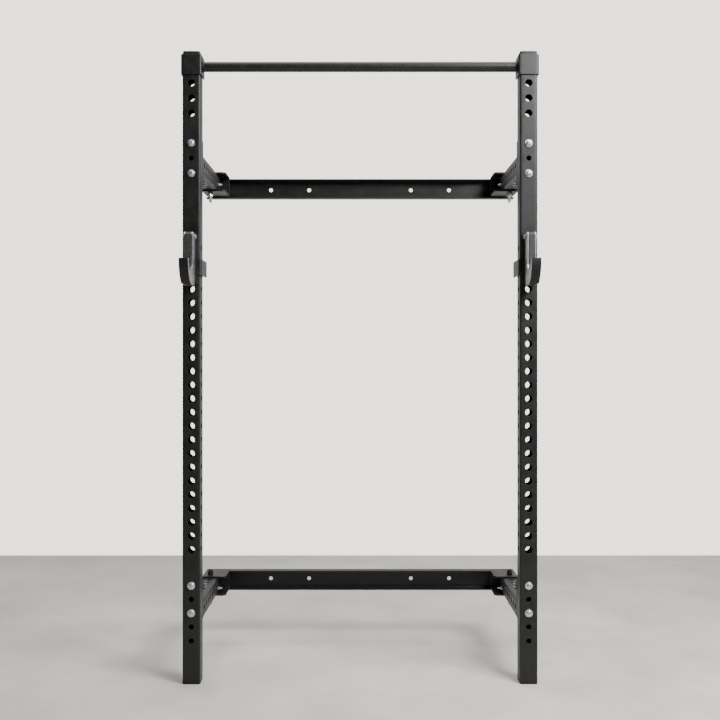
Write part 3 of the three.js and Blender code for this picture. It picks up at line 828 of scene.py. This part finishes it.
# %% The plates, liners and pads
PAD, PAD_STRAIGHT_STEPS, PAD_ARC_STEPS = 6, 4, 24
PAD_END = 180 * 1.38  # the angle on the nose's circle where the pad ends, in degrees
for side in SIDES:
    body, front = f"{side}_cup", corners(f"{side}_upright")[0][1]
    for word, slot, proud in (
        ("inner_plate", "bare_steel", 0),
        ("outer_plate", "bare_steel", 0),
        ("liner", "liner_plastic", LINER_PROUD),
    ):
        node = f"{side}_cup_{word}"
        low, high = corners(node)
        inside, outside = j_lines(low, high, front, proud)
        piece(f"{node}_sheet", ribbon(inside, outside, low[0], high[0]), body, slot, [node])
    node = f"{side}_cup_pad"
    low, high = corners(node)
    plate_low = corners(f"{side}_cup_liner")[0]
    nose = (plate_low[1] + NOSE, plate_low[2] + NOSE)
    sides = []
    for face in (low[1] + PAD, low[1]):
        straight = line((face, high[2]), (face, nose[1]), PAD_STRAIGHT_STEPS)
        round_part = arc(nose, nose[0] - face, 180, PAD_END, PAD_ARC_STEPS)
        sides.append(np.concatenate([straight, round_part]))
    pad = ribbon(*sides, low[0], high[0])
    piece(f"{node}_strip", pad, body, "moulded_plastic", [node], edge=1.2)
print("a cradle is", CRADLE - 2 * LINER_PROUD, "mm wide between its liners")

# %% [markdown]
# Behind the J, a bracket holds it to the upright: a web against the front face, a flange that wraps
# round the inner face to stop the cup from turning, and a peg through the upright.

# %% The brackets
WEB_WIDE, WEB_WALL = 48, 6
WRAP_WALL, WRAP_BEND, WRAP_HIGH, WRAP_DROP, WRAP_REACH = 5, 8, 53, 40, 108
KEEPER_HOLE, KEEPER_BACK, KEEPER_DROP = 8, 8, 26
PEG, PEG_NOSE = 20, 2.5
for side, way in SIDES.items():
    body, node = f"{side}_cup", f"{side}_cup_bracket"
    low, high = corners(node)
    x = middle(f"{side}_upright")[0]
    face = corners(f"{side}_upright")[0][1]
    back, reach = face - TOUCH_GAP, face + WRAP_REACH
    front = back - WEB_WALL
    flat = section([(x - WEB_WIDE / 2, front), (x + WEB_WIDE / 2, front)], 0, WEB_WALL)
    web = laid(carried(flat, cells(low[2], high[2], [], 0), {}), (0, 1, 2))
    piece(f"{node}_web", web, body, "powder_coat", [node], edge=1)
    outer_x = x - way * (TUBE / 2 + SLIDE_GAP + WRAP_WALL)
    start_x = x - way * (WEB_WIDE / 2 - 1)
    path = [(start_x, front), (outer_x, front), (outer_x, reach)]
    if way > 0:
        path = path[::-1]
    top = PEG_LEVEL - WRAP_DROP
    share = KEEPER_BACK / (reach - front - WRAP_BEND)
    keeper_place = {0: (KEEPER_HOLE, share)} if way > 0 else {1: (KEEPER_HOLE, 1 - share)}
    keeper = {top - KEEPER_DROP: keeper_place}
    cuts = cells(top - WRAP_HIGH, top, keeper, KEEPER_HOLE)
    wrap = laid(carried(section(path, WRAP_BEND, WRAP_WALL), cuts, keeper), (0, 1, 2))
    piece(f"{node}_wrap", wrap, body, "powder_coat", edge=0.9)
    long = high[1] - back
    r, nose = PEG / 2, PEG_NOSE
    profile = [(0, 0), (r, 0), (r, long - nose), (r - nose, long), (0, long)]
    peg = turned(profile, (x, back, PEG_LEVEL), (0, 1, 0))
    piece(f"{node}_peg", [peg], body, "zinc_plate", edge=0.4)
print("pegs", PEG, "mm thick")

# %% The bolts across the J-cups
for side in SIDES:
    node = f"{side}_cup_bolt"
    (low, high), (x, y, z) = corners(node), middle(node)
    for word, face, end in (("left", -1, low[0]), ("right", 1, high[0])):
        start = (end - face * CROSS_HEAD, y, z)
        flats = high[1] - low[1]
        stands_for = [node] if word == "left" else []
        hexagon = six_sided(flats, CROSS_HEAD, 0, start, (face, 0, 0))
        piece(f"{node}_{word}_end", [hexagon], f"{side}_cup", "zinc_plate", stands_for, edge=0.3)
print("J-cup bolts", round(flats), "mm across flats")

# %% [markdown]
# The stage is a pale concrete floor in a bright room. The world behind the floor stands in for the
# far wall. A real wall would hide the back of the rack in other views. What the camera sees of the
# world is one flat pale colour. What lights the rack is a glow that is dim in front of it and bright
# behind it, so dark coated steel faces look dark from the front and pale at a glancing angle.

# %% The floor
FLOOR_HALF, FLOOR_FRONT, FLOOR_BACK = 4000, -6000, 1920
across, along = np.meshgrid([-FLOOR_HALF, FLOOR_HALF], [FLOOR_FRONT, FLOOR_BACK])
floor_grid = np.stack([across, along, np.zeros((2, 2))], axis=-1)
mesh = welded_mesh("floor", [(floor_grid, False)])
concrete = finish("cast_concrete", "#b6b3ae", "#cac7c1", (0.6, 0.8), 0.0, 420, 6, 0.1)
mesh.materials.append(concrete)
floor = bpy.data.objects.new("floor", mesh)
bpy.context.scene.collection.objects.link(floor)
print("floor", 2 * FLOOR_HALF, "mm wide")

# %% The world
GLOW_FRONT, GLOW_BEHIND, GLOW_SEEN = 0.04, 1.15, 3.0
GLOW_START = -0.4  # how far along Y, from -1 in front to 1 behind, it starts to brighten
world = bpy.data.worlds.new("pale_room")
world.use_nodes = True
tree = world.node_tree
tree.nodes.clear()
path = add_node(tree, "ShaderNodeLightPath")
place = add_node(tree, "ShaderNodeTexCoord")
axes = add_node(tree, "ShaderNodeSeparateXYZ", (), [("Vector", place, "Generated")])
glow = add_node(
    tree,
    "ShaderNodeMapRange",
    {"From Min": GLOW_START, "From Max": 1.0, "To Min": GLOW_FRONT, "To Max": GLOW_BEHIND},
    [("Value", axes, "Y")],
)
lit = {"Color": linear("#f2efea")}
room = add_node(tree, "ShaderNodeBackground", lit, [("Strength", glow, "Result")])
plain = {"Color": linear("#f3ebdf"), "Strength": GLOW_SEEN}
seen = add_node(tree, "ShaderNodeBackground", plain)
both = add_node(
    tree, "ShaderNodeMixShader", (), [(0, path, "Is Camera Ray"), (1, room, 0), (2, seen, 0)]
)
add_node(tree, "ShaderNodeOutputWorld", (), [("Surface", both, 0)])
bpy.context.scene.world = world
print("the world glows", GLOW_FRONT, "to", GLOW_BEHIND)

# %% [markdown]
# Three soft lamps add shape. The key lamp stands near on the right, so the right side of the rack
# is lighter. A weak one fills from the left, and a wide one overhead lights the floor.

# %% The lamps
def lamp(name, place, aim, size, watts):
    """A square soft lamp at a place in metres, turned towards a point."""
    light = bpy.data.lights.new(name, "AREA")
    light.shape, light.size, light.energy = "SQUARE", size, watts
    made = bpy.data.objects.new(name, light)
    bpy.context.scene.collection.objects.link(made)
    made.location = place
    away = made.location - type(made.location)(aim)
    made.rotation_euler = away.to_track_quat("Z", "Y").to_euler()


lamp("key_lamp", (1.7, -1.7, 2.9), (0.6, -0.2, 1.4), 1.3, 185)
lamp("fill_lamp", (-3.0, -2.6, 2.0), (0, 0, 1.0), 2.0, 3)
lamp("overhead_lamp", (0, 0.4, 4.2), (0, 0.4, 0), 3.5, 150)
print(len(bpy.data.lights), "lamps")

# %% [markdown]
# The camera stands level in front of the rack at chest height, so upright edges stay upright.

# %% The camera
EYE_HEIGHT = 1.108
EYE_TO_UPRIGHTS = 3.3
camera_data = bpy.data.cameras.new("camera")
camera_data.sensor_width = 36
camera_data.lens = 49.04
camera_data.shift_y = -5 / 720
camera = bpy.data.objects.new("camera", camera_data)
bpy.context.scene.collection.objects.link(camera)
upright_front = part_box("left_upright")[0].y
camera.location = (0, upright_front - EYE_TO_UPRIGHTS, EYE_HEIGHT)
camera.rotation_euler = (math.pi / 2, 0, 0)
bpy.context.scene.camera = camera
print("the camera is", EYE_TO_UPRIGHTS, "m from the uprights")
